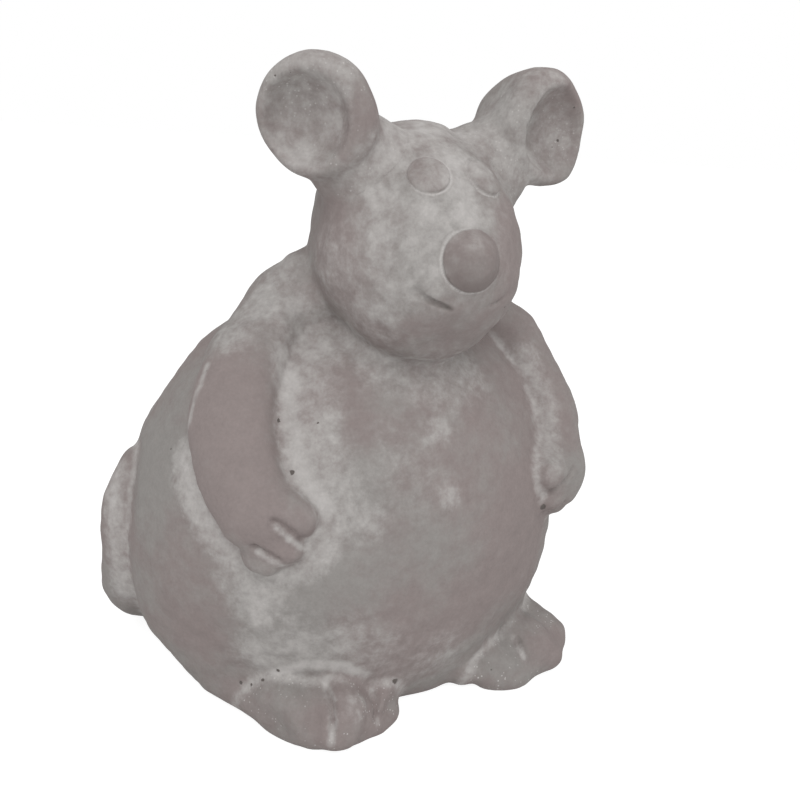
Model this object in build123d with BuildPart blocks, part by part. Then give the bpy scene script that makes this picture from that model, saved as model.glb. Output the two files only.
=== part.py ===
from build123d import *
from math import asin, cos, degrees, radians, sin, sqrt
import os

# A sitting mouse cast in cement, taken apart along the creases between its modelled forms.
# Lengths are in millimetres and angles in degrees. The mouse faces -Y, its left is +X, and it sits
# on z = 0. A place on the body or the head is a turn from the front towards the mouse's left, and
# a rise above the level of its middle.

# Body: an egg with its widest level near the ground, cut flat to sit on and cast hollow.
body_width = 152
body_depth = 134
body_axis_y = -1
belly_height = 46.6
crown_rise = 81
base_drop = 80
body_lean_angle = 4
crown_angle = 87
body_sections = 9
cast_wall = 12
base_round = 2.5

# Head: an egg lying on its muzzle axis, seated on the front of the body's crown.
head_girth = 30.3
muzzle_length = 36.5
skull_length = 36.5
muzzle_droop_angle = 45
head_seat_angle = 72
head_turn_angle = -2.5
head_sink = 7.8

# Face: a round nose, two low domed eyes and a slit of a mouth on either side of the nose.
nose_turn_angle = -4.5
nose_rise_angle = -1
nose_girth = 8.6
nose_front = 9
nose_back = 10
nose_proud = 5
eye_turn_angle = 22
eye_rise_angle = 41
eye_radius = 5.8
eye_bulge = 1.6
eye_depth = 4
mouth_corner = (25.5, -17)
mouth_end = (8.5, -22)
mouth_girth = 0.7

# Ears: fat rounds with a thick rim, each on a root. The dish lies off centre, outwards and down, so
# the rim is thickest towards the crown.
ear_turn_angle = 79
ear_rise_angle = 42
ear_radius = {"right": 15.7, "left": 16.6}
ear_stand = {"right": 17.5, "left": 19.5}
ear_back_depth = {"right": 15, "left": 22}
rim_round = 4
ear_splay_angle = {"right": 38, "left": 12}
ear_lift_angle = -8
dish_ball = 12
dish_above = 6
dish_offset = 3.6
dish_edge_round = 1.5
root_girth = 14.5
root_length = 19
root_sink = 4
root_behind = 5

# Arms: they lie along the body from shoulder to belly. A station gives its turn and rise on the
# body, half of the arm's breadth, half of its thickness, and how far its middle stands out.
arm_stations = (
    (112, 84, 5, 4, -7),
    (91, 79, 9.5, 8, 1.5),
    (80, 71, 11.5, 10, 3.5),
    (70, 57, 12, 9, 3),
    (62, 41, 12.5, 9, 3),
    (54, 29, 12, 9, 3),
    (47, 19.5, 10.5, 8.5, 2.5),
    (41, 14, 7, 6, 1),
)
# A finger runs from a root to a tip, each a turn and rise on the body, with its own girth.
fingers = (
    ((48, 20), (35, 18), 8),
    ((46, 13), (36, 11.5), 5),
    ((46, 10), (40, 8.5), 4),
)
finger_out = 2

# Feet: each starts at a turn on the edge of the base, points outwards and stands out from the
# edge. A toe lies across from the foot's middle, reaches forwards and has its own girth. A pad joins
# the toes underneath.
foot_turn_angle = {"right": -26, "left": 37}
foot_splay_angle = {"right": 18, "left": 28}
foot_out = {"right": 0, "left": 3}
toes = ((-13, 15, 9), (0, 23, 10.5), (14, 21, 10.5))
toe_front = 15
toe_back = 16
toe_lift = 0.75
pad_reach = 7
pad_half_width = 22
pad_girth = 11
pad_lift = 3

# Tail: it leaves the back, lies on the ground round the right flank and turns up along it. A station
# gives its turn on the body, its height above the ground, its girth, and how far its middle stands out.
tail_stations = (
    (-198, 20, 6, -14),
    (-186, 17, 10, -7),
    (-169, 12, 10.5, -0.5),
    (-151, 10, 10, 2.5),
    (-134, 10, 9.5, 3),
    (-120, 11.5, 9.5, 3),
    (-109, 18.5, 9.5, 2),
    (-103, 34, 8.5, 1),
    (-101.5, 52, 7.5, 0),
    (-102, 66, 6, 0),
    (-102.5, 71, 4, 0),
    (-102.5, 73.5, 1.5, 0),
)

os.makedirs("parts", exist_ok=True)


def heading(turn, rise):
    # A unit vector from a turn and a rise.
    across = cos(radians(rise))
    return Vector(sin(radians(turn)) * across, -cos(radians(turn)) * across, sin(radians(rise)))


def body_reach(rise):
    return crown_rise if rise > 0 else base_drop


def body_rise(height):
    # The rise at which the body's surface has a height.
    drop = height - belly_height
    return degrees(asin(drop / body_reach(drop)))


def body_middle(height):
    # The body's axis leans forwards as it rises.
    return body_axis_y - (height - belly_height) * sin(radians(body_lean_angle))


def body_place(turn, rise, out=0):
    # A point on the body, or standing out from it, and the body's normal there.
    way = heading(turn, rise)
    reach = body_reach(rise)
    height = belly_height + reach * way.Z
    point = Vector(
        way.X * body_width / 2, way.Y * body_depth / 2 + body_middle(height), height
    )
    slope = Vector(way.X / body_width * 2, way.Y / body_depth * 2, way.Z / reach)
    normal = slope.normalized()
    return point + normal * out, normal


def body_egg(inset):
    # Ellipses stacked up the leaning axis from the ground to the crown, all inset alike.
    lowest = -degrees(asin(belly_height / (base_drop - inset)))
    with BuildPart() as form:
        for step in range(body_sections):
            rise = lowest + (crown_angle - lowest) * step / (body_sections - 1)
            height = belly_height + (body_reach(rise) - inset) * sin(radians(rise))
            with BuildSketch(Plane.XY.offset(height)):
                with Locations((0, body_middle(height))):
                    Ellipse(
                        (body_width / 2 - inset) * cos(radians(rise)),
                        (body_depth / 2 - inset) * cos(radians(rise)),
                    )
        loft()
    return form.part


def egg(middle, way, front, back, girth):
    # Two quarter ellipses turned about their long axis, which runs along a vector.
    side = way.cross(Vector(0, 0, 1))
    with BuildPart() as form:
        with BuildSketch(Plane(origin=middle, x_dir=way, z_dir=side)):
            with BuildLine():
                EllipticalCenterArc((0, 0), front, girth, 0, arc_size=90)
                EllipticalCenterArc((0, 0), back, girth, 90, arc_size=90)
                Line((-back, 0), (front, 0))
            make_face()
        revolve(axis=Axis(middle, way))
    return form.part


def bent_limb(spine, ovals):
    # A loft through ovals that stand square to a spine of points and normals.
    with BuildPart() as form:
        for index, (middle, normal) in enumerate(spine):
            before = spine[max(index - 1, 0)][0]
            after = spine[min(index + 1, len(spine) - 1)][0]
            along = (after - before).normalized()
            breadth, thickness = ovals[index]
            with BuildSketch(Plane(origin=middle, x_dir=along.cross(normal), z_dir=along)):
                Ellipse(breadth, thickness)
        loft()
    return form.part


def export(part, name):
    part.label = name
    export_step(part, f"parts/{name}.step")


# Body: the hollow is the same egg, smaller by the wall all round, and opens at the base.
base_angle = body_rise(0)
plain_egg = body_egg(0)
with BuildPart() as solid_body:
    add(plain_egg)
    fillet(solid_body.faces().sort_by(Axis.Z)[0].edges(), base_round)
body_form = solid_body.part
with BuildPart() as body:
    add(body_form)
    add(body_egg(cast_wall), mode=Mode.SUBTRACT)
export(body.part, "body")

# Head, cut to sit on the body, with the mouth cut into it.
neck, neck_normal = body_place(0, head_seat_angle)
head_middle = neck + neck_normal * (head_girth - head_sink)
muzzle_way = heading(head_turn_angle, -muzzle_droop_angle)
head_form = egg(head_middle, muzzle_way, muzzle_length, skull_length, head_girth)


def head_place(turn, rise):
    # A point on the head and the head's normal there.
    way = heading(turn, rise)
    along = way.dot(muzzle_way)
    length = muzzle_length if along > 0 else skull_length
    reach = 1 / sqrt((along / length) ** 2 + (1 - along**2) / head_girth**2)
    slope = muzzle_way * (along / length**2) + (way - muzzle_way * along) / head_girth**2
    return head_middle + way * reach, slope.normalized()


mouth_forms = []
for side in (-1, 1):
    corner = head_place(head_turn_angle + side * mouth_corner[0], mouth_corner[1])[0]
    end = head_place(head_turn_angle + side * mouth_end[0], mouth_end[1])[0]
    half_length = (end - corner).length / 2
    mouth_forms.append(
        egg((corner + end) / 2, (end - corner).normalized(), half_length, half_length, mouth_girth)
    )
with BuildPart() as head:
    add(head_form)
    add(body_form, mode=Mode.SUBTRACT)
    add(mouth_forms, mode=Mode.SUBTRACT)
export(head.part, "head")

# Nose.
nose_seat, nose_way = head_place(nose_turn_angle, nose_rise_angle)
with BuildPart() as nose:
    add(egg(nose_seat + nose_way * (nose_proud - nose_front), nose_way, nose_front, nose_back, nose_girth))
    add(head_form, mode=Mode.SUBTRACT)
export(nose.part, "nose")

for side, name in ((-1, "right"), (1, "left")):
    # Eye.
    eye_seat, eye_way = head_place(head_turn_angle + side * eye_turn_angle, eye_rise_angle)
    with BuildPart() as eye:
        add(egg(eye_seat, eye_way, eye_bulge, eye_depth, eye_radius))
        add(head_form, mode=Mode.SUBTRACT)
    export(eye.part, f"{name}_eye")

    # Ear: a round with a rolled rim on its root, dished in front.
    ear_way = heading(side * ear_turn_angle, ear_rise_angle)
    ear_front = heading(side * ear_splay_angle[name], ear_lift_angle)
    ear_seat = head_place(side * ear_turn_angle, ear_rise_angle)[0]
    ear_middle = ear_seat + ear_way * ear_stand[name]
    ear_up = (ear_way - ear_front * ear_way.dot(ear_front)).normalized()
    ear_out = ear_up.cross(ear_front) * side
    dish_middle = ear_middle + ear_front * (rim_round + dish_above) + ear_out * dish_offset
    root_middle = ear_seat - ear_way * root_sink - ear_front * root_behind
    rim_middle = ear_radius[name] - rim_round
    with BuildPart() as ear:
        with BuildSketch(Plane(origin=ear_middle, x_dir=ear_front, z_dir=ear_front.cross(ear_up))):
            with BuildLine():
                Line((-ear_back_depth[name], 0), (rim_round, 0))
                Line((rim_round, 0), (rim_round, rim_middle))
                CenterArc((0, rim_middle), rim_round, 0, 90)
                EllipticalCenterArc((0, 0), ear_back_depth[name], ear_radius[name], 90, arc_size=90)
            make_face()
        revolve(axis=Axis(ear_middle, ear_front))
        add(egg(root_middle, ear_way, root_length, root_length, root_girth))
        with Locations(dish_middle):
            Sphere(dish_ball, mode=Mode.SUBTRACT)
        fillet(ear.edges(Select.LAST), dish_edge_round)
        add(head_form, mode=Mode.SUBTRACT)
    export(ear.part, f"{name}_ear")

    # Arm and its three fingers.
    arm_spine = [body_place(side * turn, rise, out) for turn, rise, half, thick, out in arm_stations]
    arm_ovals = [(half, thick) for turn, rise, half, thick, out in arm_stations]
    arm_form = bent_limb(arm_spine, arm_ovals)
    finger_forms = []
    for root, tip, girth in fingers:
        start = body_place(side * root[0], root[1], finger_out)[0]
        end = body_place(side * tip[0], tip[1], finger_out)[0]
        half_length = (end - start).length / 2 + girth / 2
        finger_forms.append(
            egg((start + end) / 2, (end - start).normalized(), half_length, half_length, girth)
        )
    with BuildPart() as arm:
        add(arm_form)
        add(finger_forms)
        add(body_form, mode=Mode.SUBTRACT)
        add(head_form, mode=Mode.SUBTRACT)
    export(arm.part, f"{name}_arm")

    # Foot: three toes on a pad, flat underneath.
    toe_way = heading(side * foot_splay_angle[name], 0)
    toe_across = heading(side * (foot_splay_angle[name] + 90), 0)
    base_edge = body_place(foot_turn_angle[name], base_angle)[0]
    toe_forms = []
    for across, reach, girth in toes:
        toe_reach = reach + foot_out[name] - toe_front
        toe_middle = base_edge + toe_across * across + toe_way * toe_reach
        toe_middle += Vector(0, 0, girth * toe_lift)
        toe_forms.append(egg(toe_middle, toe_way, toe_front, toe_back, girth))
    pad_middle = base_edge + toe_way * (foot_out[name] + pad_reach) + Vector(0, 0, pad_lift)
    with BuildPart() as foot:
        add(toe_forms)
        add(egg(pad_middle, toe_across, pad_half_width, pad_half_width, pad_girth))
        split(bisect_by=Plane.XY, keep=Keep.TOP)
        add(plain_egg, mode=Mode.SUBTRACT)
    export(foot.part, f"{name}_foot")

# Tail, flat where it lies on the ground.
tail_spine = [body_place(turn, body_rise(height), out) for turn, height, girth, out in tail_stations]
tail_ovals = [(girth, girth) for turn, height, girth, out in tail_stations]
with BuildPart() as tail:
    add(bent_limb(tail_spine, tail_ovals))
    split(bisect_by=Plane.XY, keep=Keep.TOP)
    add(plain_egg, mode=Mode.SUBTRACT)
export(tail.part, "tail")
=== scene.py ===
import math

import bmesh
import bpy
import numpy as np
from mathutils import Matrix, Vector
from mathutils.bvhtree import BVHTree
from mathutils.kdtree import KDTree


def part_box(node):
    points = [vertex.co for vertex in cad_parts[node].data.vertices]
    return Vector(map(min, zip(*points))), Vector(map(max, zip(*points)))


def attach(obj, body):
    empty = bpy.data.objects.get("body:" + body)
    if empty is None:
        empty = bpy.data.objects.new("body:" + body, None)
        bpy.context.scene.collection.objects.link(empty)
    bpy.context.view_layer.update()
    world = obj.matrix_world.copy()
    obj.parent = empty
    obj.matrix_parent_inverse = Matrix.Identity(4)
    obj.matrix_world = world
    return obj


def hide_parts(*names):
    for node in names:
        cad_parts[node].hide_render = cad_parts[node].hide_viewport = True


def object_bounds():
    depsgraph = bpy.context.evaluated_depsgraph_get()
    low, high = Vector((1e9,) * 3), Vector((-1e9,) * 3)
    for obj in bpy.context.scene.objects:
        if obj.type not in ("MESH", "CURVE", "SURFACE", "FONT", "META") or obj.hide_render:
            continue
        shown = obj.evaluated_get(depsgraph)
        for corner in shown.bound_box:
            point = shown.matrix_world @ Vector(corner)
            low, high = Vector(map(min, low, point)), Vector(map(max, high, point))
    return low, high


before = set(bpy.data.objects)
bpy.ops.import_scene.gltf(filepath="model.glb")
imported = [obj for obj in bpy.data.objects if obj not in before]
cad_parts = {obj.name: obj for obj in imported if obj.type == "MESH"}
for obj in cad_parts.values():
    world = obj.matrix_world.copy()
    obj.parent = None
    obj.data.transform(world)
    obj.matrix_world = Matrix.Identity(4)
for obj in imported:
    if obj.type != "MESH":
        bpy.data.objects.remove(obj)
cadLow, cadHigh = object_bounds()
scene = bpy.context.scene
scene.view_settings.view_transform = "Standard"
mm = 0.001
tiny = 1e-12
cadNames = sorted(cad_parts)
print("frame loaded:", len(cadNames), "nodes")


# camera where the photo was taken from, lengths in mm and angles in degrees
camera = {
    "place": (-133.5, -248.9, 172.8),
    "yaw": 31.8,
    "pitch": 17.0,
    "roll": -3.8,
    "lens": 38.295,
    "sensor": 36.0,
    "clip": (0.01, 20.0),  # in metres
}


def setCamera(setup):
    yaw, pitch, roll = (math.radians(setup[key]) for key in ("yaw", "pitch", "roll"))
    ahead = Vector((math.sin(yaw), math.cos(yaw), 0.0))
    right = Vector((math.cos(yaw), -math.sin(yaw), 0.0))
    up = Vector((0.0, 0.0, 1.0))
    look = ahead * math.cos(pitch) - up * math.sin(pitch)
    down = -ahead * math.sin(pitch) - up * math.cos(pitch)
    rolledRight = right * math.cos(roll) + down * math.sin(roll)
    rolledDown = down * math.cos(roll) - right * math.sin(roll)
    data = bpy.data.cameras.new("photoCamera")
    data.lens = setup["lens"]
    data.sensor_width = setup["sensor"]
    data.clip_start, data.clip_end = setup["clip"]
    obj = bpy.data.objects.new("photoCamera", data)
    scene.collection.objects.link(obj)
    turn = Matrix((rolledRight, -rolledDown, -look)).transposed()
    obj.matrix_world = Matrix.Translation(Vector(setup["place"]) * mm) @ turn.to_4x4()
    scene.camera = obj


setCamera(camera)
print("camera set")


# the casting: every CAD solid in one skin, then its creases are filled as wet cement fills them
casting = {
    "voxel": 0.75,
    "weld": 0.001,
    "overlap": 0.35,  # the solids swell this much so that no crack is left between them
    "plugs": (  # cement in the pockets behind the cheeks, below the ears and beside the feet
        ((-25, -21, 125), 8), ((25, -21, 125), 8), ((-26, -16.5, 132), 8), ((26, -16.5, 132), 8),
        ((-29.5, -37.5, 160.5), 5), ((27, -42.5, 161.5), 6),
        ((-54, -24, 7), 6.5), ((-52.5, -28, 7), 6.8), ((-51, -32, 7), 7), ((-49.3, -36, 7), 7),
        ((-47.7, -40, 7), 7), ((-46, -44, 7), 7), ((-44.5, -48, 7), 7), ((20, -52, 6), 7),
    ),
    "plugRounds": 3,
    "evenRounds": 4,
    "fillRounds": 55,
    "fillStep": 0.5,
    "normalsEvery": 5,  # rounds between two fresh sets of normals
    "settleRounds": 3,
    "hollow": {"level": 46.6, "margin": 6, "rise": 75},  # an egg that the wall of the hollow lies in
    "crisp": (  # nose, eyes and ears keep their hollows
        ((-2.6, -68.3, 144), 14, 0.45),
        ((-9.5, -56.1, 164.5), 9, 0.5),
        ((7.6, -56.9, 164.5), 9, 0.5),
        ((-37, -45, 177), 17, 0.06),
        ((37, -46, 178.4), 18, 0.06),
    ),
    "fineLow": (-27, -80, 121),  # the front of the face gets a finer skin
    "fineHigh": (24, -42, 177),
    "fineRounds": 3,
    "nodeMargin": 4,  # a point of the skin is sought this far outside a solid's box
    "seamEven": 1.2,
    "creaseLimit": 14,
    "blend": (  # forms that run into each other, how far and how softly
        (("left_ear", "head"), 8, 40),
        (("right_ear", "head"), 8, 40),
        (("head", "body"), 3, 20),
        (("head", "right_arm"), 3, 20),
        (("head", "left_arm"), 3, 20),
    ),
    "blendFull": 1.3,
}


def swollenSolids(setup):
    work = bmesh.new()
    trees = {}
    for name in cadNames:
        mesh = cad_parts[name].data
        points = [tuple(v.co) for v in mesh.vertices]
        trees[name] = BVHTree.FromPolygons(points, [tuple(p.vertices) for p in mesh.polygons])
        solid = bmesh.new()
        solid.from_mesh(mesh)
        bmesh.ops.remove_doubles(solid, verts=solid.verts, dist=setup["weld"] * mm)
        solid.normal_update()
        moved = [v.co + v.normal * setup["overlap"] * mm for v in solid.verts]
        fresh = [work.verts.new(p) for p in moved]
        for f in solid.faces:
            work.faces.new([fresh[v.index] for v in f.verts])
        solid.free()
    for place, radius in setup["plugs"]:
        spot = Matrix.Translation(Vector(place) * mm)
        bmesh.ops.create_icosphere(work, subdivisions=setup["plugRounds"], radius=radius * mm, matrix=spot)
    mesh = bpy.data.meshes.new("castingRaw")
    work.to_mesh(mesh)
    work.free()
    return mesh, trees


def oneSkin(mesh, setup):
    obj = bpy.data.objects.new("castingRaw", mesh)
    scene.collection.objects.link(obj)
    remesh = obj.modifiers.new("oneSkin", "REMESH")
    remesh.mode = "VOXEL"
    remesh.voxel_size = setup["voxel"] * mm
    ready = obj.evaluated_get(bpy.context.evaluated_depsgraph_get())
    skin = bpy.data.meshes.new_from_object(ready)
    bpy.data.objects.remove(obj)
    return skin


def takeSkin(mesh):
    # points, edges, triangles and faces of a mesh as arrays
    global co, edges, tris, faces, count, valence
    count = len(mesh.vertices)
    co = np.empty(count * 3)
    mesh.vertices.foreach_get("co", co)
    co = co.reshape(-1, 3)
    edges = np.empty(len(mesh.edges) * 2, dtype=np.int64)
    mesh.edges.foreach_get("vertices", edges)
    edges = edges.reshape(-1, 2)
    mesh.calc_loop_triangles()
    tris = np.empty(len(mesh.loop_triangles) * 3, dtype=np.int64)
    mesh.loop_triangles.foreach_get("vertices", tris)
    tris = tris.reshape(-1, 3)
    faces = [tuple(f.vertices) for f in mesh.polygons]
    valence = np.maximum(np.bincount(edges.ravel(), minlength=count), 1).astype(float)


rawMesh, trees = swollenSolids(casting)
skinMesh = oneSkin(rawMesh, casting)
takeSkin(skinMesh)
print("one skin:", count, "points", len(faces), "faces")


def around(values):
    # mean of each point's neighbours
    cols = values.reshape(count, -1)
    out = np.empty_like(cols)
    for k in range(cols.shape[1]):
        total = np.bincount(edges[:, 0], weights=cols[edges[:, 1], k], minlength=count)
        total += np.bincount(edges[:, 1], weights=cols[edges[:, 0], k], minlength=count)
        out[:, k] = total / valence
    return out.reshape(values.shape)


def relax(rounds, share=1.0):
    # moves each point half way to the mean of its neighbours, or a share of that
    global co
    for turn in range(rounds):
        co = co + 0.5 * share * (around(co) - co)


def normals():
    slant = np.cross(co[tris[:, 1]] - co[tris[:, 0]], co[tris[:, 2]] - co[tris[:, 0]])
    out = np.empty((count, 3))
    for k in range(3):
        out[:, k] = sum(np.bincount(tris[:, c], weights=slant[:, k], minlength=count) for c in range(3))
    return out / np.maximum(np.linalg.norm(out, axis=1), tiny)[:, None]


def gapTo(place):
    # distance from every point of the skin to a place given in mm
    return np.linalg.norm(co - np.array(place) * mm, axis=1)


def insideBox(low, high):
    return np.all((co > low) & (co < high), axis=1)


def insideHollow(setup):
    # the wall of the hollow faces the middle of the body
    low, high = (np.array(corner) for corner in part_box("body"))
    middle = (low + high) / 2
    middle[2] = setup["level"] * mm
    span = (high - low) / 2 - setup["margin"] * mm
    span[2] = setup["rise"] * mm
    deep = (((co - middle) / span) ** 2).sum(axis=1) < 1.0
    return deep & (np.einsum("ij,ij->i", normals(), co - middle) < 0)


def fillCreases(setup):
    global co
    relax(setup["evenRounds"])
    step = np.where(insideHollow(setup["hollow"]), 0.0, setup["fillStep"])
    for place, radius, share in setup["crisp"]:
        step[gapTo(place) < radius * mm] *= share
    for turn in range(setup["fillRounds"]):
        if turn % setup["normalsEvery"] == 0:
            ways = normals()
        lift = np.maximum(np.einsum("ij,ij->i", around(co) - co, ways), 0.0)
        co = co + (step * lift)[:, None] * ways
    relax(setup["settleRounds"])
    co = co - setup["overlap"] * mm * normals()


def finerFace(mesh, setup):
    # the face's own skin is divided once more and evened out
    mesh.vertices.foreach_set("co", co.ravel())
    work = bmesh.new()
    work.from_mesh(mesh)
    low, high = np.array(setup["fineLow"]) * mm, np.array(setup["fineHigh"]) * mm
    picked = insideBox(low, high)
    inside = [e for e in work.edges if picked[e.verts[0].index] and picked[e.verts[1].index]]
    bmesh.ops.subdivide_edges(work, edges=inside, cuts=1, use_grid_fill=True)
    bmesh.ops.triangulate(work, faces=[f for f in work.faces if len(f.verts) > 4])
    work.to_mesh(mesh)
    work.free()
    takeSkin(mesh)
    relax(setup["fineRounds"], insideBox(low, high)[:, None])


fillCreases(casting)
print("creases filled")
finerFace(skinMesh, casting)
print("finer face:", count, "points", len(faces), "faces")


def nearestNode(margin):
    # which CAD solid each point of the skin lies on
    kept = np.zeros(count, dtype=np.int64)
    best = np.full(count, np.inf)
    for index, name in enumerate(cadNames):
        low, high = (np.array(corner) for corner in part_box(name))
        find = trees[name].find_nearest
        for i in np.nonzero(insideBox(low - margin, high + margin))[0]:
            gap = find(co[i])[3]
            if gap is not None and gap < best[i]:
                best[i] = gap
                kept[i] = index
    return kept


owner = nearestNode(casting["nodeMargin"] * mm)
hollow = insideHollow(casting["hollow"])
print("points sorted to nodes:", np.bincount(owner, minlength=len(cadNames)).tolist())


def owned(*names):
    return np.isin(owner, [cadNames.index(name) for name in names])


def pointTree(points):
    tree = KDTree(len(points))
    for i, point in enumerate(points):
        tree.insert(point, i)
    tree.balance()
    return tree


def seamLine(*names):
    # places where two of some solids meet, evened out along the seam
    kinds = owner[edges]
    mixed = kinds[:, 0] != kinds[:, 1]
    mixed &= np.all(np.isin(kinds, [cadNames.index(name) for name in names]), axis=1)
    middles = co[edges[mixed]].mean(axis=1)
    tree = pointTree(middles)
    near = [[found[1] for found in tree.find_range(point, casting["seamEven"] * mm)] for point in middles]
    return np.array([middles[group].mean(axis=0) for group in near])


def reach(points, limit):
    # distance from every point of the skin to the nearest of some points, up to a limit
    tree = pointTree(points)
    out = np.full(count, limit)
    for i in np.nonzero(insideBox(points.min(axis=0) - limit, points.max(axis=0) + limit))[0]:
        out[i] = min(tree.find(co[i])[2], limit)
    return out


creaseNodes = ("body", "tail", "left_arm", "right_arm", "left_foot", "right_foot")
creaseReach = reach(seamLine(*creaseNodes), casting["creaseLimit"] * mm)
print("creases measured")


def blendForms(setup):
    full = setup["blendFull"]
    for pair, width, rounds in setup["blend"]:
        soft = np.clip(full - full * reach(seamLine(*pair), width * mm) / (width * mm), 0.0, 1.0)
        relax(rounds, soft[:, None])


blendForms(casting)
print("ears run into the head, head into the shoulders")


# hand work on the skin: lengths in mm, places in the figure's own frame
def smoothStep(x):
    x = np.clip(x, 0.0, 1.0)
    return x * x * (3.0 - 2.0 * x)


def bell(gap, width):
    return np.exp(-((gap / (width * mm)) ** 2))


def pathReach(path):
    # distance to a line through places, and how far along it, from 0 to 1
    points = np.array(path, dtype=float) * mm
    best = np.full(count, np.inf)
    along = np.zeros(count)
    lengths = np.linalg.norm(np.diff(points, axis=0), axis=1)
    run = np.concatenate([[0.0], np.cumsum(lengths)])
    for k in range(len(points) - 1):
        way = points[k + 1] - points[k]
        t = np.clip((co - points[k]) @ way / (way @ way), 0.0, 1.0)
        gap = np.linalg.norm(co - (points[k] + t[:, None] * way), axis=1)
        closer = gap < best
        best[closer] = gap[closer]
        along[closer] = ((run[k] + t * lengths[k]) / run[-1])[closer]
    return best, along


def groove(path, depth, width, ends=0.12, endDepth=0.25, where=True):
    # a tool mark, shallower towards its ends
    global co
    gap, along = pathReach(path)
    fade = smoothStep(np.minimum(along, 1.0 - along) / ends + endDepth)
    push = np.where(where, depth * mm * bell(gap, width) * fade, 0.0)
    co = co - push[:, None] * normals()


def swell(place, radius, height, where=True):
    # a soft mound, or a hollow if the height is below zero
    global co
    push = np.where(where, height * mm * smoothStep(1.0 - gapTo(place) / (radius * mm)), 0.0)
    co = co + push[:, None] * normals()


def grab(place, radius, move):
    # shifts the skin about a place, less and less towards the radius
    global co
    co = co + smoothStep(1.0 - gapTo(place) / (radius * mm))[:, None] * np.array(move) * mm


def soften(place, radius, rounds, core=1.6):
    # evens out the skin about a place, wholly in its core and less towards the radius
    relax(rounds, smoothStep(core - core * gapTo(place) / (radius * mm))[:, None])


# small shifts that bring the outline to the photo's: place, radius and move
grabs = {
    "shoulder": ((-45, -18, 125.5), 17, (1.7, -1.3, -1.9)),
    "leftShoulder": ((52, -27, 117), 15, (1.8, -1.1, 1.4)),
    "leftArm": ((58, -46, 93), 15, (0.9, -0.55, 0)),
    "leftHand": ((54, -53, 72), 13, (3.0, -1.8, -1.0)),
    "leftHandTip": ((54, -55, 66), 9, (1.0, -1.0, -2.4)),
    "crown": ((4, -38, 176), 10, (0, 0, 0.9)),
    "cheek": ((-28, -26, 149), 16, (2.0, -1.2, 0)),
    "rightEar": ((-38, -42, 180), 20, (-0.9, 0.55, 0.3)),
    "rightEarLow": ((-44, -37, 168), 9, (0.7, -0.4, 0.5)),
    "rightEarInner": ((-25, -50, 183), 8, (-0.9, 0.5, 0)),
    "leftEar": ((40, -43, 178), 20, (1.4, -0.8, 0)),
    "leftEarLow": ((47, -43, 167), 13, (2.2, -1.4, -2.0)),
    "leftEarCrest": ((34, -45, 193), 10, (0, 0, 1.0)),
    "leftEarTop": ((46, -44, 188), 8, (-1.0, 0.6, 0)),
    "leftEarFlank": ((22.5, -35.8, 186.8), 12, (2.4, -1.4, -1.2)),
    "flankBack": ((-70, -6, 22), 20, (-1.4, 0.2, -1.0)),
    "flankLow": ((-60, -24, 10), 20, (-1.6, -0.4, -0.8)),
    "rightToe": ((-52, -57, 6), 14, (4.6, 2.6, 0)),
    "rightToeInner": ((-12.8, -63.9, 5.7), 9, (-3.0, 1.2, 0)),
    "soleOuter": ((-41, -65, 1), 10, (-1.0, -3.2, 0)),
    "soleInner": ((-30, -67, 1), 9, (-0.6, -1.8, 0)),
    "bellyFoot": ((10, -56, 2), 16, (-0.6, -1.8, 0)),
    "leftToe": ((60, -47, 15), 14, (-0.6, -0.2, -3.2)),
    "leftToeLow": ((55, -60, 3), 12, (2.4, -3.6, 0)),
    "leftSole": ((38, -62, 2), 14, (-1.0, -2.4, 0)),
    "tailTop": ((-76, 10, 68), 14, (1.0, -0.6, -0.6)),
    "tail": ((-79, 8, 50), 24, (1.0, -0.4, 0)),
    "tailLow": ((-79, 9, 34), 18, (1.3, -0.6, 0)),
    "tailEnd": ((-75, 9, 22), 12, (1.2, -0.5, -1.2)),
}
# places evened out after that: the web by the right foot, below the ears, left shoulder and left toe
softSpots = (
    ((-50, -36, 8), 20, 40), ((-30, -37, 158), 11, 40), ((27.5, -42.5, 158), 11, 40),
    ((52, -27, 117), 13, 20), ((55, -58, 6), 12, 40),
)
for place, radius, move in grabs.values():
    grab(place, radius, move)
for place, radius, rounds in softSpots:
    soften(place, radius, rounds)
print("outline eased")


faceForm = {
    "muzzle": ((-3, -66, 140), 20, 1.0),
    "forehead": ((-2.5, -60, 157), 14, -0.7),
    "chin": ((-4, -60, 121), 13, -2.0),
    "mouth": ((-15.4, -63.9, 134.5), (-13, -65.1, 133.3), (-10, -66.3, 132.1), (-6.9, -67.1, 131.1)),
    "mouthFar": ((3.6, -67.6, 131.4), (8, -67, 132.4), (12.4, -65.2, 134.6)),
    "mouthCorner": ((-16, -63.8, 135), 3.0, -0.9),
    "slit": {"depth": 1.5, "width": 0.7, "ends": 0.3},
    "slitFar": {"depth": 0.75, "width": 0.7, "ends": 0.4},
    # painted shade in the slit of the mouth
    "slitShade": {"width": 0.55, "start": 0.12, "fade": 0.3},
    # rings: the side towards the light, where the white line is strongest as a painted highlight over the
    # dust and the groove is deepest, and what is left of the depth on the other side
    "rings": {
        "right_eye": {"depth": 0.7, "width": 0.5, "light": (0.8, 0.0, -0.6), "share": 0.6},
        "left_eye": {"depth": 0.9, "width": 0.5, "light": (0.6, 0.0, -0.8), "share": 0.6},
        "nose": {"depth": 0.7, "width": 0.55, "light": (-0.9, 0.0, -0.3), "share": 0.1},
    },
    "ringLimit": 6,
    "ringDustAndHighlight": 0.3,
    "dustAndHighlightSide": (0.6, 0.5),
    "deepSide": (0.5, 0.7),
    "pupil": (4.4, 0.25),
    # painted shade on the lower side of the nose, less of it at the top
    "noseShade": {"top": 0.35, "low": 0.65, "share": 0.36},
}


def cutMouth(setup):
    groove(setup["mouth"], **setup["slit"])
    groove(setup["mouthFar"], **setup["slitFar"])
    swell(*setup["mouthCorner"])


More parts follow.
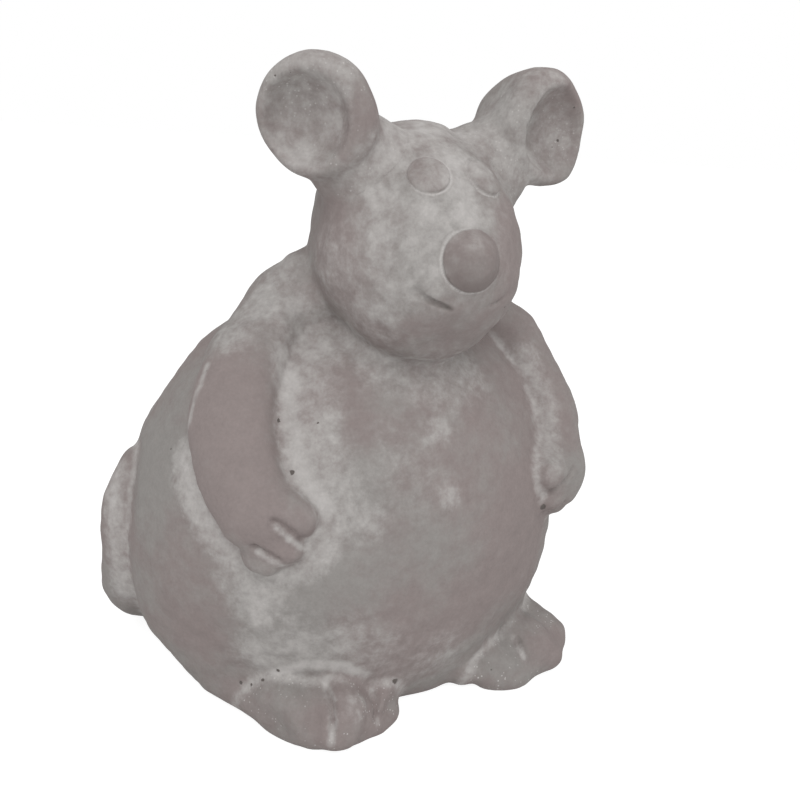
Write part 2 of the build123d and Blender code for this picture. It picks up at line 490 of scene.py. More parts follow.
def cutRings(setup):
    # returns how strongly white lies in the rings: cement dust all round, and a painted highlight on the
    # side towards the light
    global co
    dustAndHighlight = np.zeros(count)
    for node, ring in setup["rings"].items():
        gap = reach(seamLine(node, "head"), setup["ringLimit"] * mm)
        middle = co[owned(node)].mean(axis=0)
        toward = (co - middle) @ np.array(ring["light"])
        toward /= np.maximum(np.linalg.norm(co - middle, axis=1), tiny)
        start, slope = setup["dustAndHighlightSide"]
        dustAndHighlight = np.maximum(dustAndHighlight, bell(gap, setup["ringDustAndHighlight"]) * smoothStep(start + slope * toward))
        start, slope = setup["deepSide"]
        deep = ring["share"] + (1 - ring["share"]) * smoothStep(start + slope * toward)
        push = ring["depth"] * mm * bell(gap, ring["width"]) * deep
        co = co - push[:, None] * normals()
    return dustAndHighlight


def shadeFace(setup):
    # returns the painted shade in the slit of the mouth and on the lower side of the nose
    slit = setup["slitShade"]
    gap, along = pathReach(setup["mouth"])
    paintedShade = bell(gap, slit["width"]) * smoothStep((along - slit["start"]) / slit["fade"])
    nose, shade = owned("nose"), setup["noseShade"]
    height = co[nose][:, 2]
    drop = (height.max() - height) / (height.max() - height.min())
    paintedShade[nose] = shade["share"] * (shade["top"] + shade["low"] * smoothStep(drop))
    return paintedShade


def shapeFace(setup):
    head = owned("head", "nose", "left_eye", "right_eye")
    for key in ("muzzle", "forehead", "chin"):
        swell(*setup[key], where=head)
    cutMouth(setup)
    dustAndHighlight = cutRings(setup)
    for node in ("left_eye", "right_eye"):
        swell(co[owned(node)].mean(axis=0) / mm, *setup["pupil"], where=owned(node))
    return dustAndHighlight, shadeFace(setup)


ringDustAndHighlight, paintedFaceShade = shapeFace(faceForm)
print("face shaped")


# ears: the way each one faces, its rim, and its dish by radius and shift up and outwards
ears = {
    "headMiddle": (0, -35.3, 144.6),
    "right": {"middle": (-36.2, -41.7, 177), "side": -1, "turn": -38, "rim": 12.8, "dish": (11.4, 0.5, 1.7)},
    "left": {"middle": (38.2, -43.2, 178.4), "side": 1, "turn": 12, "rim": 13.6, "dish": (12.3, 0.0, 0.0)},
    "lift": -8,
    "rimTop": 4.0,
    "rimWidth": 2.2,
    "rimBack": -2.0,  # the rim rolls in front of this level
    "depth": 7.5,
    "bowl": 0.6,  # below 1 the dish has a flatter floor
    "dishBack": -6.0,
    "roll": 0.7,
    "softRounds": 4,
}


def dishEar(name, setup):
    global co
    ear = setup[name]
    turn, lift = math.radians(ear["turn"]), math.radians(setup["lift"])
    front = np.array((math.sin(turn) * math.cos(lift), -math.cos(turn) * math.cos(lift), math.sin(lift)))
    middle = np.array(ear["middle"]) * mm
    up = middle - np.array(setup["headMiddle"]) * mm
    up = up - front * (up @ front)
    up /= np.linalg.norm(up)
    out = np.cross(up, front) * ear["side"]
    mine = owned(name + "_ear")
    ahead, high, wide = ((co - middle) @ way / mm for way in (front, up, out))
    ring = np.exp(-(((np.hypot(high, wide) - ear["rim"]) / setup["rimWidth"]) ** 2))
    roll = np.where(mine & (ahead > setup["rimBack"]), setup["roll"] * mm * ring, 0.0)
    radius, liftBy, outBy = ear["dish"]
    inside = np.hypot(high - liftBy, wide - outBy) / radius
    bowl = setup["rimTop"] - setup["depth"] * np.clip(1.0 - inside**2, 0.0, 1.0) ** setup["bowl"]
    dished = mine & (inside < 1.0) & (ahead > setup["dishBack"])
    push = np.where(dished, np.minimum(bowl - ahead, 0.0), 0.0)
    co = co + roll[:, None] * normals() + (push * mm)[:, None] * front


for name in ("right", "left"):
    dishEar(name, ears)
relax(ears["softRounds"], owned("left_ear", "right_ear")[:, None])
print("ears dished and softened")


# hands: grooves and swellings of the right one, which the left one mirrors
hands = {
    "grooves": (
        ((-53.4, -57.7, 74.8), (-50.7, -59.6, 73.6), (-47.6, -60.5, 70.9), (-42.5, -58.5, 66.5)),
        ((-57, -54.4, 66.7), (-53.5, -56.3, 64.5), (-49.5, -58.3, 62)),
    ),
    "depth": 1.7,
    "width": 1.1,
    "fingers": (((-43.5, -60.3, 74.5), 7, 0.9), ((-47.3, -58.8, 66), 6, 0.8)),
}


def shapeHands(setup):
    for (x, y, z), radius, height in setup["fingers"]:
        swell((x, y, z), radius, height)
        swell((-x, y, z), radius, height)
    for path in setup["grooves"]:
        groove(path, setup["depth"], setup["width"])
        groove([(-x, y, z) for x, y, z in path], setup["depth"], setup["width"])


shapeHands(hands)
print("hands shaped")


feet = {
    "grooves": {
        "right_foot": (
            ((-33.5, -55.9, 17.7), (-34.5, -62.2, 15.9), (-35.7, -66.2, 12.2), (-36.3, -66.9, 5.4)),
            ((-19.5, -59.9, 13.1), (-19.8, -63.5, 10.3), (-19.9, -65.4, 5.6)),
        ),
        "left_foot": (
            ((36.9, -57.2, 14.6), (37.9, -61.7, 9.6), (38.6, -63.1, 2)),
        ),
    },
    "toes": (((-28, -63.5, 13), 8, 0.8), ((-43, -57, 13), 9, 0.6), ((54, -60, 4), 9, 1.6)),
    "depth": 1.9,
    "width": 1.3,
    "ends": 0.2,
}


def shapeFeet(setup):
    for toe in setup["toes"]:
        swell(*toe)
    for node, paths in setup["grooves"].items():
        for path in paths:
            groove(path, setup["depth"], setup["width"], setup["ends"], where=owned(node))


shapeFeet(feet)
print("feet shaped")


# uneven surface: broad lumps and small dabs, in mm
handWork = {
    "lump": 0.24,
    "lumpSize": 26.0,
    "lumpWaves": 24,
    "dab": 0.1,
    "dabSize": 6.5,
    "dabWaves": 40,
    "smallShare": 0.35,  # ears, nose and eyes are smoother
    "baseFade": (1.0, 4.0),  # the base stays flat
    "seed": 11,
}


def waves(size, seed, number=24, spread=(0.7, 1.6)):
    # a soft random field made of plane waves
    rng = np.random.default_rng(seed)
    ways = rng.normal(size=(number, 3))
    ways /= np.linalg.norm(ways, axis=1)[:, None]
    pitch = 2 * math.pi / (size * mm * rng.uniform(*spread, number))
    phase = rng.uniform(0, 2 * math.pi, number)
    return np.sin(co @ (ways * pitch[:, None]).T + phase).sum(axis=1) / math.sqrt(number / 2)


def roughHand(setup):
    global co
    push = setup["lump"] * waves(setup["lumpSize"], setup["seed"], setup["lumpWaves"])
    push += setup["dab"] * waves(setup["dabSize"], setup["seed"] + 1, setup["dabWaves"])
    push[hollow] = 0.0
    push[owned("left_ear", "right_ear", "nose", "left_eye", "right_eye")] *= setup["smallShare"]
    flat, fade = setup["baseFade"]
    push *= smoothStep((co[:, 2] / mm - flat) / fade)
    co = co + (push * mm)[:, None] * normals()


roughHand(handWork)
print("surface worked over")


# keep the skin inside the box of the CAD solids
co = np.minimum(np.maximum(co, np.array(cadLow)), np.array(cadHigh))
skinNormals = normals()


# finish masks kept on the points: pale bloom in creases, on bands and on spots, where some spots are painted
# light that lightens shaded parts
bloomAndLight = {
    "crease": {"width": 1.9, "strength": 0.6},
    "creaseBreaks": {"start": 0.85, "slope": 0.4, "size": 18, "seed": 5},
    "bands": (  # a line through places, its width and its strength
        # behind the right arm, thin above and broad below
        (((-59.3, -26.3, 109.1), (-61.7, -29.3, 105), (-65.4, -31, 96), (-66, -28, 86)), 1.3, 0.65),
        (
            ((-64.6, -23.2, 82), (-65.2, -26.2, 77), (-64.5, -32, 70), (-61.6, -38.8, 63.5),
             (-57.3, -44.7, 58)),
            5.0, 0.8,
        ),
        # chest beside the right arm, a bright core and a mottled edge
        (
            ((-38.8, -34, 113), (-39, -38.2, 103), (-41, -43.8, 95), (-41, -49, 87), (-39, -53.5, 80),
             (-36, -57.3, 74)),
            4.2, 1.0,
        ),
        (
            ((-34, -37, 112), (-34, -42, 102), (-36, -48, 94), (-35, -53, 86), (-33, -57, 79),
             (-30, -60, 72)),
            8.0, 0.5,
        ),
        (((-46.5, -54, 55), (-40, -57.9, 58), (-36.9, -59, 63), (-32.9, -59.6, 71)), 4.0, 0.65),
        # over the right foot
        (((-46, -47.6, 20), (-37.6, -54.5, 24), (-28, -58.4, 23), (-21.5, -59.2, 19.6)), 2.6, 1.0),
        # left arm
        (((44.4, -37.5, 108), (47.3, -47, 92), (46.8, -51.8, 82), (43, -57, 75)), 4.5, 0.55),
        # tail
        (((-77.5, 9, 67), (-78.5, 6.5, 57), (-78.2, 6, 45), (-77, 7.4, 31), (-75.7, 9.1, 24)), 4.5, 0.75),
        # fingers
        (((-52.5, -58.4, 74), (-47.6, -59.4, 68.6), (-42, -58.2, 64)), 0.9, 1.0),
        (((-54.9, -54.9, 64.4), (-52.2, -57, 62.4), (-48.3, -57.4, 60)), 0.9, 0.8),
        # toes
        (feet["grooves"]["left_foot"][0], 1.1, 0.9),
        (feet["grooves"]["right_foot"][0], 1.2, 1.0),
        (feet["grooves"]["right_foot"][1], 1.1, 0.9),
        # under the jaw, and the near edge of the left ear
        (
            ((-25.6, -20.5, 131.6), (-22.3, -21.7, 124.8), (-19.8, -27, 120.6), (-18, -32.9, 118.2),
             (-14, -38, 116.5)),
            2.5, 1.0,
        ),
        (((31.3, -49.2, 188.4), (26.5, -49.5, 182), (24.8, -48.7, 175.8), (24.9, -48, 168.1)), 1.0, 0.6),
    ),
    "spots": (  # a place, its radius and its strength
        # shoulder and chest
        ((-35.6, -23, 128.5), 8, 0.6), ((-34, -26.2, 125.3), 8, 0.7), ((-37.5, -29.6, 120.3), 7, 0.6),
        ((-31.3, -26.2, 116.3), 8, 0.7), ((-26.2, -25.6, 118.9), 8, 0.65), ((-30.8, -32.4, 113.2), 8, 0.7),
        ((-25.4, -34.2, 114.8), 8, 0.6), ((-20.9, -34.8, 116.1), 8, 0.55), ((-16.8, -39.7, 114), 8, 0.45),
        ((-45.4, -22.5, 123.6), 10, 0.6), ((-38, -19.2, 130), 9, 0.6), ((-32.2, -16.3, 133.8), 8, 0.6),
        ((-50.6, -24.7, 118.6), 9, 0.5),
        # belly
        ((-24.5, -62.6, 71.6), 8, 0.4), ((-54.3, -48, 49), 12, 0.6), ((-51.4, -50, 42.5), 11, 0.5),
        ((-45, -54, 38.5), 10, 0.4), ((-43, -54, 32.8), 10, 0.6), ((-50, -47, 25.8), 11, 0.5),
        ((-31.4, -60, 33.9), 13, 0.35), ((-18.9, -62.3, 26.6), 13, 0.35), ((0, -62, 20), 16, 0.3),
        ((-0.7, -65.4, 76.3), 4.5, 0.6), ((-2.8, -58.7, 93.8), 7, 0.35), ((-14, -62, 84), 22, 0.2),
        # crown and face
        ((-13.6, -43.9, 175.3), 12, 0.8), ((-0.6, -40.9, 176), 14, 0.85), ((9.9, -41, 174.2), 11, 0.75),
        ((-1.1, -54.6, 167.9), 12, 0.85), ((-3, -59, 163.3), 10, 0.85), ((-2.4, -63.7, 156.6), 9, 0.9),
        ((-12.2, -61.8, 155), 9, 0.75), ((-10, -64.6, 151.3), 8, 0.75), ((-21.1, -52.8, 157.5), 9, 0.6),
        ((-22.9, -55.8, 148.9), 8, 0.6), ((-22.8, -57.3, 144.2), 8, 0.5), ((-20.3, -60.1, 136.6), 9, 0.5),
        ((-11.5, -65, 148.3), 6, 0.7), ((-12.1, -66.1, 140.5), 6, 0.6), ((-26.3, -47.5, 164), 7, 0.6),
        ((-19.8, -49.1, 169.1), 9, 0.75), ((-16.3, -49.5, 167), 8, 0.7), ((-10, -58, 150), 24, 0.45),
        # cheeks, jaw and throat: painted light, pale paint that lightens the shade there
        ((-29, -42, 138), 14, 0.45), ((-22, -50, 128), 12, 0.5), ((-12, -58, 122), 10, 0.15),
        ((0, -50, 108), 14, 0.45), ((-14, -45, 110), 10, 0.45), ((14, -50, 106), 10, 0.4),
        # ears, and last the top of the nose, lighter there partly from bloom and partly as a painted
        # highlight
        ((-34.7, -46.6, 181.5), 7, 0.75), ((-32.6, -44, 176.4), 7, 0.75), ((-38.6, -39.5, 166.8), 8, 0.75),
        ((-42.1, -36.4, 170.5), 7, 0.65), ((-40, -40, 176), 14, 0.4), ((-38, -45, 190), 13, 0.5),
        ((-47, -37, 179), 8, 0.35), ((-44, -40, 188), 8, 0.35),
        ((20.8, -43.5, 182.5), 16, 0.55), ((22, -47.3, 171.8), 15, 0.5), ((34.1, -45.3, 167), 9, 0.6),
        ((34, -48, 193), 12, 0.45), ((42, -40, 176), 12, 0.4), ((-5, -70.4, 149.2), 4, 0.8),
        # a painted highlight on the top of the right foot's toe, then the back and far side
        ((-28.1, -65.2, 14.1), 7, 0.3), ((-20, 30, 118), 26, 0.35), ((40, 40, 60), 26, 0.35),
        ((-10, 62, 50), 28, 0.35), ((62, 0, 90), 22, 0.3), ((-60, 30, 90), 22, 0.3),
    ),
    "spotEdge": 0.85,
    "nose": 0.5,
    "eyes": 0.85,
}


def even(mask, rounds=6):
    # blurs a mask a little
    for turn in range(rounds):
        mask = around(mask)
    return mask


def bloomAndLightMask(setup):
    crease, breaks = setup["crease"], setup["creaseBreaks"]
    broken = smoothStep(breaks["start"] + breaks["slope"] * waves(breaks["size"], breaks["seed"]))
    mask = crease["strength"] * bell(creaseReach, crease["width"]) * broken
    for path, width, strength in setup["bands"]:
        mask = np.maximum(mask, strength * bell(pathReach(path)[0], width))
    for place, radius, strength in setup["spots"]:
        mask = np.maximum(mask, strength * bell(gapTo(place), setup["spotEdge"] * radius))
    mask[owned("nose")] *= setup["nose"]
    mask[owned("left_eye", "right_eye")] *= setup["eyes"]
    return np.where(owned("head", "nose", "left_eye", "right_eye"), even(mask), mask)


# where the cement leans to mauve, or below zero to green-grey
tints = {
    "spots": (
        # arms and hands
        ((-58, -36, 100), 18, 0.9), ((-62, -42, 85), 16, 0.9), ((-57, -52, 72), 11, 0.8),
        ((-42, -60, 74), 7, 0.8), ((-48, -58, 64), 8, 0.8), ((48, -42, 98), 15, 0.5),
        # head and ears
        ((-30, -39.7, 146), 11, 0.9), ((17, -60.8, 151), 9, 0.9), ((13, -65, 141), 9, 0.9),
        ((42, -42, 184), 11, 0.7), ((-28, -46, 180), 8, 0.7), ((-14, -58, 150), 18, -0.8),
        # body, feet and tail
        ((26, -38, 112), 14, 0.8), ((30, -58, 55), 24, 1.0), ((0, -66, 38), 20, 0.6),
        ((-64, -28, 34), 16, 0.7), ((-36, -66, 8), 8, 0.6), ((52, -58, 8), 9, 0.7), ((-79, 9, 48), 9, 0.4),
        ((-18, -64, 72), 20, -0.7), ((-68, -10, 75), 16, -0.6), ((-50, -50, 45), 14, -0.6),
        ((32, -60, 10), 8, -0.7),
    ),
    "nose": 0.8,
    "eyes": 0.15,
}


def tintMask(setup):
    mask = np.zeros(count)
    for place, radius, strength in setup["spots"]:
        mask += strength * bell(gapTo(place), radius)
    mask[owned("nose")] = setup["nose"]
    mask[owned("left_eye", "right_eye")] = setup["eyes"]
    return even(np.clip(mask, -1.0, 1.0))


# white specks: how many lie on the ears and the feet
specks = {"ears": 0.6, "feet": 1.0, "blur": 12}


def speckMask(setup):
    mask = np.where(owned("left_ear", "right_ear"), setup["ears"], 0.0)
    mask = np.maximum(mask, np.where(owned("left_foot", "right_foot"), setup["feet"], 0.0))
    return even(mask, setup["blur"])


masks = {
    "bloomAndLight": bloomAndLightMask(bloomAndLight),
    "warm": tintMask(tints),
    "specks": speckMask(specks),
    "dustAndHighlight": ringDustAndHighlight,
    "paintedShade": paintedFaceShade,
}
print("finish masks made")


# cement: mauve and green-grey mottling, pale bloom with some painted light, pinholes and white specks, and
# painted shade in the holes, the mouth's slit and under the nose
cement = {
    "mauve": (0.262, 0.222, 0.214),
    "greenGrey": (0.272, 0.257, 0.245),
    "pale": (0.455, 0.435, 0.422),
    "paintedShade": (0.125, 0.110, 0.102),
    "white": (0.560, 0.540, 0.525),
    "roughness": 0.9,
    "specular": 0.25,
    "noises": {  # scale, detail, roughness, distortion
        "broad": (30, 2, 0.5, 0.0),
        "patches": (90, 7, 0.66, 0.1),
        "cloud": (320, 6, 0.64, 0.0),
        "grain": (1100, 2, 0.6, 0.0),
    },
    # sums of noises and masks, each with what it starts from
    "tint": {"start": 0.0, "broad": 0.45, "patches": 0.35, "cloud": 0.2, "warm": -0.17},
    "bloomAndLight": {"start": -1.08, "bloomAndLight": 1.0, "patches": 0.9, "cloud": 1.3},
    "shade": {"start": 0.68, "patches": 0.22, "cloud": 0.2, "grain": 0.22},
    "tintRange": (0.38, 0.62),
    "bloomAndLightRange": (-0.12, 1.2),
    "keptRange": (0.02, 0.25),
    "pinholes": {"scale": 150, "size": 0.06, "share": 0.05},
    "specks": ({"scale": 900, "size": 0.26, "share": 0.34}, {"scale": 520, "size": 0.19, "share": 0.26}),
    "speckRange": (0.44, 0.62),  # specks lie in clusters
    "core": 0.55,  # the full middle of a dot
    "pitEdge": 1.2,  # how uneven the edge of a pit is
    "pitCore": 0.6,
    "relief": {"holesAndPaintedShade": -2.0, "strength": 0.35, "height": 0.4},
    "pits": (
        # arms and chest
        ((-44.5, -40.2, 96), 0.6), ((-42.9, -49.5, 83.7), 0.8), ((42.3, -56.5, 62.3), 1.1),
        ((-38, -52, 100), 0.35),
        # feet
        ((-45.3, -48.3, 20.6), 0.8), ((-11.8, -58.7, 13.5), 1.0), ((25, -61.2, 8), 0.7),
        ((-52.2, -38, 12.6), 0.6), ((-49.6, -42, 12.9), 0.5), ((-48.2, -45.4, 16.1), 0.4),
        # ears
        ((-45.9, -40, 186), 0.4), ((-46.6, -36, 185.8), 0.35), ((-43.5, -43.5, 184.5), 0.3),
        ((-40.5, -45, 187), 0.3), ((47, -45, 184), 0.35), ((45.5, -42, 176), 0.4), ((44, -42, 174), 0.3),
    ),
}


def nodeOf(tree, kind, **settings):
    item = tree.nodes.new(kind)
    for key, value in settings.items():
        setattr(item, key, value)
    return item


def firstOf(tree, kind):
    return next(item for item in tree.nodes if item.type == kind)


def attributeOf(tree, name):
    return nodeOf(tree, "ShaderNodeAttribute", attribute_name=name).outputs["Fac"]


def noiseOf(tree, where, scale, detail, roughness, distortion):
    item = nodeOf(tree, "ShaderNodeTexNoise")
    item.inputs["Scale"].default_value = scale
    item.inputs["Detail"].default_value = detail
    item.inputs["Roughness"].default_value = roughness
    item.inputs["Distortion"].default_value = distortion
    tree.links.new(where, item.inputs["Vector"])
    return item.outputs["Fac"]


def rampOf(tree, value, low, high):
    item = nodeOf(tree, "ShaderNodeMapRange", interpolation_type="SMOOTHSTEP")
    item.inputs["From Min"].default_value = low
    item.inputs["From Max"].default_value = high
    tree.links.new(value, item.inputs["Value"])
    return item.outputs["Result"]


def mathOf(tree, operation, *values):
    # a value is a socket to link or a number to set
    item = nodeOf(tree, "ShaderNodeMath", operation=operation)
    for slot, value in zip(item.inputs, values):
        if isinstance(value, (int, float)):
            slot.default_value = value
        else:
            tree.links.new(value, slot)
    return item.outputs["Value"]


def mixOf(tree, share, first, second):
    # a colour is a socket to link or a colour to set
    item = nodeOf(tree, "ShaderNodeMix", data_type="RGBA")
    tree.links.new(share, item.inputs["Factor"])
    for name, colour in (("A", first), ("B", second)):
        slot = next(s for s in item.inputs if s.name == name and s.type == "RGBA")
        if isinstance(colour, tuple):
            slot.default_value = (*colour, 1.0)
        else:
            tree.links.new(colour, slot)
    return next(s for s in item.outputs if s.type == "RGBA")


def sumOf(tree, values, shares):
    # a weighted sum of noises and masks
    total = shares["start"]
    for name, share in shares.items():
        if name != "start":
            total = mathOf(tree, "MULTIPLY_ADD", values[name], share, total)
    return total


def dotsOf(tree, where, core, scale, size, share):
    cells = nodeOf(tree, "ShaderNodeTexVoronoi")
    cells.inputs["Scale"].default_value = scale
    tree.links.new(where, cells.inputs["Vector"])
    pick = nodeOf(tree, "ShaderNodeSeparateColor")
    tree.links.new(cells.outputs["Color"], pick.inputs["Color"])
    some = mathOf(tree, "GREATER_THAN", pick.outputs["Red"], 1.0 - share)
    return mathOf(tree, "MULTIPLY", rampOf(tree, cells.outputs["Distance"], size, size * core), some)


def pitsOf(tree, where, cloud, setup):
    # larger holes at known places, each moved to the skin, with painted shade inside them
    uneven = mathOf(tree, "MULTIPLY_ADD", cloud, 2 * setup["pitEdge"] * mm, -setup["pitEdge"] * mm)
    total = None
    for place, radius in setup["pits"]:
        gap = nodeOf(tree, "ShaderNodeVectorMath", operation="DISTANCE")
        gap.inputs[1].default_value = co[np.argmin(gapTo(place))]
        tree.links.new(where, gap.inputs[0])
        rough = mathOf(tree, "ADD", gap.outputs["Value"], uneven)
        hole = rampOf(tree, rough, radius * mm, setup["pitCore"] * radius * mm)
        total = hole if total is None else mathOf(tree, "MAXIMUM", hole, total)
    return total


def layOut(tree, across=8, wide=220, high=320):
    # spreads the nodes in rows so that they can be read
    for k, item in enumerate(tree.nodes):
        item.location = (wide * (k % across), -high * (k // across))


def cementColour(tree, where, values, holesAndPaintedShade, setup):
    tint = rampOf(tree, sumOf(tree, values, setup["tint"]), *setup["tintRange"])
    colour = mixOf(tree, tint, setup["mauve"], setup["greenGrey"])
    # bloom and the painted light break up like clouds, and only where they are kept
    bloomAndLightFade = rampOf(tree, sumOf(tree, values, setup["bloomAndLight"]), *setup["bloomAndLightRange"])
    kept = rampOf(tree, values["bloomAndLight"], *setup["keptRange"])
    colour = mixOf(tree, mathOf(tree, "MULTIPLY", bloomAndLightFade, kept), colour, setup["pale"])
    # dust in the rings round the eyes and the nose, and a painted highlight on their side towards the light
    colour = mixOf(tree, values["dustAndHighlight"], colour, setup["white"])
    # the noises shift the brightness a little as well
    grained = nodeOf(tree, "ShaderNodeVectorMath", operation="SCALE")
    tree.links.new(colour, grained.inputs["Vector"])
    tree.links.new(sumOf(tree, values, setup["shade"]), grained.inputs["Scale"])
    # painted shade: the holes, the mouth's slit and the nose's lower side take the dark colour
    colour = mixOf(tree, holesAndPaintedShade, grained.outputs["Vector"], setup["paintedShade"])
    # white specks of two sizes
    fine, coarse = (dotsOf(tree, where, setup["core"], **dots) for dots in setup["specks"])
    gather = rampOf(tree, values["patches"], *setup["speckRange"])
    flock = mathOf(tree, "MULTIPLY", mathOf(tree, "MAXIMUM", fine, coarse), gather)
    return mixOf(tree, mathOf(tree, "MULTIPLY", flock, values["specks"]), colour, setup["white"])


def makeCement(setup):
    material = bpy.data.materials.new("castCement")
    material.use_nodes = True
    tree = material.node_tree
    shader = firstOf(tree, "BSDF_PRINCIPLED")
    shader.inputs["Roughness"].default_value = setup["roughness"]
    shader.inputs["Specular IOR Level"].default_value = setup["specular"]
    where = nodeOf(tree, "ShaderNodeTexCoord").outputs["Object"]
    values = {name: noiseOf(tree, where, *noise) for name, noise in setup["noises"].items()}
    values.update((name, attributeOf(tree, name)) for name in masks)
    # pinholes and pits are painted dark as the shade inside them, and the painted shade of the face joins
    # them
    pinholes = dotsOf(tree, where, setup["core"], **setup["pinholes"])
    holesAndPaintedShade = mathOf(tree, "MAXIMUM", pinholes, pitsOf(tree, where, values["cloud"], setup))
    holesAndPaintedShade = mathOf(tree, "MAXIMUM", holesAndPaintedShade, values["paintedShade"])
    tree.links.new(cementColour(tree, where, values, holesAndPaintedShade, setup), shader.inputs["Base Color"])
    # relief of grain and holes
    relief = setup["relief"]
    bump = nodeOf(tree, "ShaderNodeBump")
    bump.inputs["Strength"].default_value = relief["strength"]
    bump.inputs["Distance"].default_value = relief["height"] * mm
    height = mathOf(tree, "MULTIPLY_ADD", holesAndPaintedShade, relief["holesAndPaintedShade"], values["cloud"])
    tree.links.new(height, bump.inputs["Height"])
    tree.links.new(bump.outputs["Normal"], shader.inputs["Normal"])
    layOut(tree)
    return material


cementMaterial = makeCement(cement)
print("cement made")


def faceOwners():
    # a face goes to the solid that most of its points are on
    sizes = np.array([len(f) for f in faces])
    flat = np.concatenate([np.array(f) for f in faces])
    row = np.repeat(np.arange(len(faces)), sizes)
    votes = np.zeros((len(faces), len(cadNames)))
    np.add.at(votes, (row, owner[flat]), 1.0)
    return votes.argmax(axis=1)


# backs: each piece is closed by a wall that goes straight in from its edge, and a cap behind that
backs = {
    "depth": 1.6,
    "smallDepth": 0.8,
    "smallPoints": 6000,  # a piece with fewer points is a small one
    "slant": 2.4,  # in degrees, thins the faces of the hollow's smooth wall
}


def closeBack(work, origin, setup):
    small = len(work.verts) < setup["smallPoints"]
    depth = setup["smallDepth"] if small else setup["depth"]
    rim = [edge for edge in work.edges if edge.is_boundary]
    for v in bmesh.ops.extrude_edge_only(work, edges=rim)["geom"]:
        if isinstance(v, bmesh.types.BMVert):
            v.co -= Vector(skinNormals[v[origin] - 1]) * depth * mm
            v[origin] = 0
    rim = [edge for edge in work.edges if edge.is_boundary]
    caps = bmesh.ops.holes_fill(work, edges=rim, sides=0)["faces"]
    for v in bmesh.ops.poke(work, faces=caps)["verts"]:
        v[origin] = 0


def thinHollow(work, origin, setup):
    plain = [v for v in work.verts if v[origin] and hollow[v[origin] - 1]]
    if plain:
        lines = [e for e in work.edges if all(v[origin] and hollow[v[origin] - 1] for v in e.verts)]
        slant = math.radians(setup["slant"])
        bmesh.ops.dissolve_limit(work, angle_limit=slant, verts=plain, edges=lines)
        bmesh.ops.triangulate(work, faces=[f for f in work.faces if len(f.verts) > 4])


def makePiece(name, chosen):
    mine = [faces[i] for i in chosen]
    used = np.unique(np.concatenate([np.array(f) for f in mine]))
    renumber = np.full(count, -1)
    renumber[used] = np.arange(len(used))
    mesh = bpy.data.meshes.new("cast_" + name)
    mesh.from_pydata(co[used].tolist(), [], [tuple(renumber[i] for i in f) for f in mine])
    work = bmesh.new()
    work.from_mesh(mesh)
    origin = work.verts.layers.int.new("origin")  # which point of the skin, counted from 1
    for v in work.verts:
        v[origin] = int(used[v.index]) + 1
    closeBack(work, origin, backs)
    thinHollow(work, origin, backs)
    openEdges = sum(1 for edge in work.edges if not edge.is_manifold)
    work.verts.ensure_lookup_table()
    source = np.array([v[origin] for v in work.verts]) - 1
    work.verts.layers.int.remove(origin)
    work.to_mesh(mesh)
    work.free()
    known = source >= 0
    for key, values in masks.items():
        layer = mesh.attributes.new(key, "FLOAT", "POINT")
        layer.data.foreach_set("value", np.where(known, values[source], 0.0))
    mesh.polygons.foreach_set("use_smooth", np.ones(len(mesh.polygons), dtype=bool))
    shading = np.where(known[:, None], skinNormals[source], (0.0, 0.0, 1.0))
    mesh.normals_split_custom_set_from_vertices(shading.tolist())
    mesh.materials.append(cementMaterial)
    obj = bpy.data.objects.new("cast_" + name, mesh)
    scene.collection.objects.link(obj)
    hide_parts(name)
    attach(obj, "root")
    print("piece", name, len(mesh.polygons), "faces, open edges", openEdges)


sortedFaces = faceOwners()
for index, name in enumerate(cadNames):
    makePiece(name, np.nonzero(sortedFaces == index)[0])
print("pieces made")


# floor, light and world, lengths in metres
studio = {
    "floorSize": 40.0,
    "floorColour": (0.86, 0.86, 0.86),
    "shadow": 0.35,
    "glow": 1.36,
    "world": 0.66,
    "white": (1.0, 1.0, 1.0, 1.0),
}


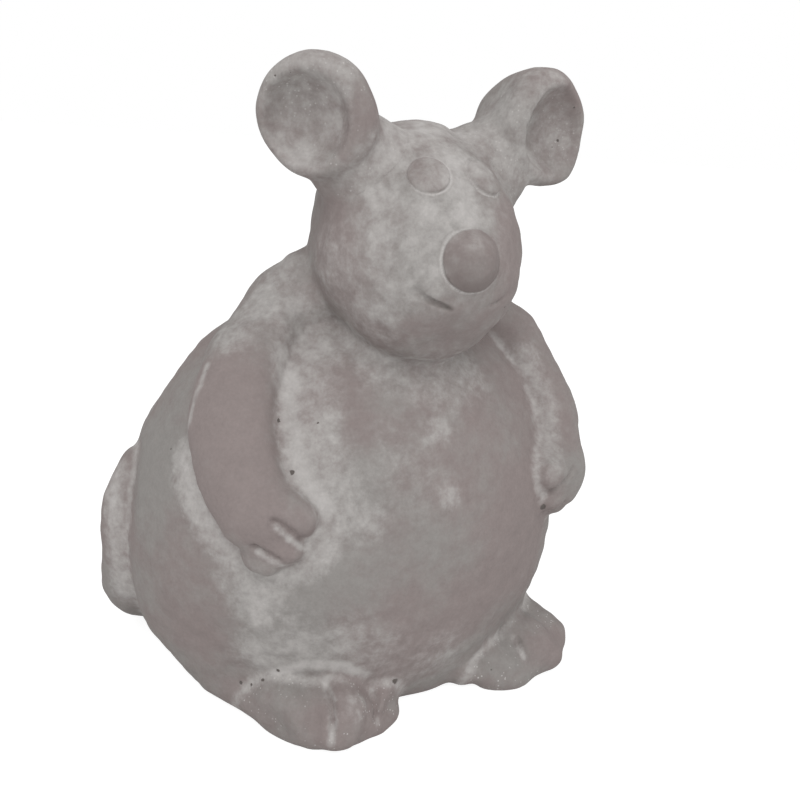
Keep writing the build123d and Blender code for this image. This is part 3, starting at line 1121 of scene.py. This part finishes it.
def makeFloor(setup):
    half = setup["floorSize"] / 2
    corners = [(-half, -half, 0), (half, -half, 0), (half, half, 0), (-half, half, 0)]
    mesh = bpy.data.meshes.new("floor")
    mesh.from_pydata(corners, [], [(0, 1, 2, 3)])
    obj = bpy.data.objects.new("floor", mesh)
    scene.collection.objects.link(obj)
    material = bpy.data.materials.new("paleFloor")
    material.use_nodes = True
    tree = material.node_tree
    shader = firstOf(tree, "BSDF_PRINCIPLED")
    shader.inputs["Base Color"].default_value = (*setup["floorColour"], 1.0)
    shader.inputs["Roughness"].default_value = 1.0
    shader.inputs["Specular IOR Level"].default_value = 0.0
    glow = nodeOf(tree, "ShaderNodeEmission")
    glow.inputs["Strength"].default_value = setup["glow"]
    path = nodeOf(tree, "ShaderNodeLightPath")
    blend = nodeOf(tree, "ShaderNodeMixShader")
    amount = mathOf(tree, "MULTIPLY", path.outputs["Is Camera Ray"], 1.0 - setup["shadow"])
    tree.links.new(amount, blend.inputs["Fac"])
    tree.links.new(shader.outputs["BSDF"], blend.inputs[1])
    tree.links.new(glow.outputs["Emission"], blend.inputs[2])
    tree.links.new(blend.outputs["Shader"], firstOf(tree, "OUTPUT_MATERIAL").inputs["Surface"])
    layOut(tree)
    mesh.materials.append(material)


def makeWorld(setup):
    world = bpy.data.worlds.new("studio")
    world.use_nodes = True
    scene.world = world
    tree = world.node_tree
    ground = firstOf(tree, "BACKGROUND")
    ground.inputs["Color"].default_value = setup["white"]
    ground.inputs["Strength"].default_value = setup["world"]
    seen = nodeOf(tree, "ShaderNodeBackground")
    seen.inputs["Color"].default_value = setup["white"]
    path = nodeOf(tree, "ShaderNodeLightPath")
    blend = nodeOf(tree, "ShaderNodeMixShader")
    tree.links.new(path.outputs["Is Camera Ray"], blend.inputs["Fac"])
    tree.links.new(ground.outputs["Background"], blend.inputs[1])
    tree.links.new(seen.outputs["Background"], blend.inputs[2])
    tree.links.new(blend.outputs["Shader"], firstOf(tree, "OUTPUT_WORLD").inputs["Surface"])
    layOut(tree)


lamps = {
    "key": {"place": (-0.55, -0.75, 0.95), "size": 0.9, "power": 6.2},
    "fill": {"place": (0.8, -0.6, 0.6), "size": 1.2, "power": 1.9},
}
lampAim = (0.0, -0.02, 0.09)


def makeLamp(name, setup):
    data = bpy.data.lights.new(name, "AREA")
    data.size = setup["size"]
    data.energy = setup["power"]
    obj = bpy.data.objects.new(name, data)
    scene.collection.objects.link(obj)
    obj.location = setup["place"]
    way = Vector(lampAim) - Vector(setup["place"])
    obj.rotation_euler = way.to_track_quat("-Z", "Y").to_euler()


makeFloor(studio)
makeWorld(studio)
for name, lamp in lamps.items():
    makeLamp(name, lamp)
print("studio set")
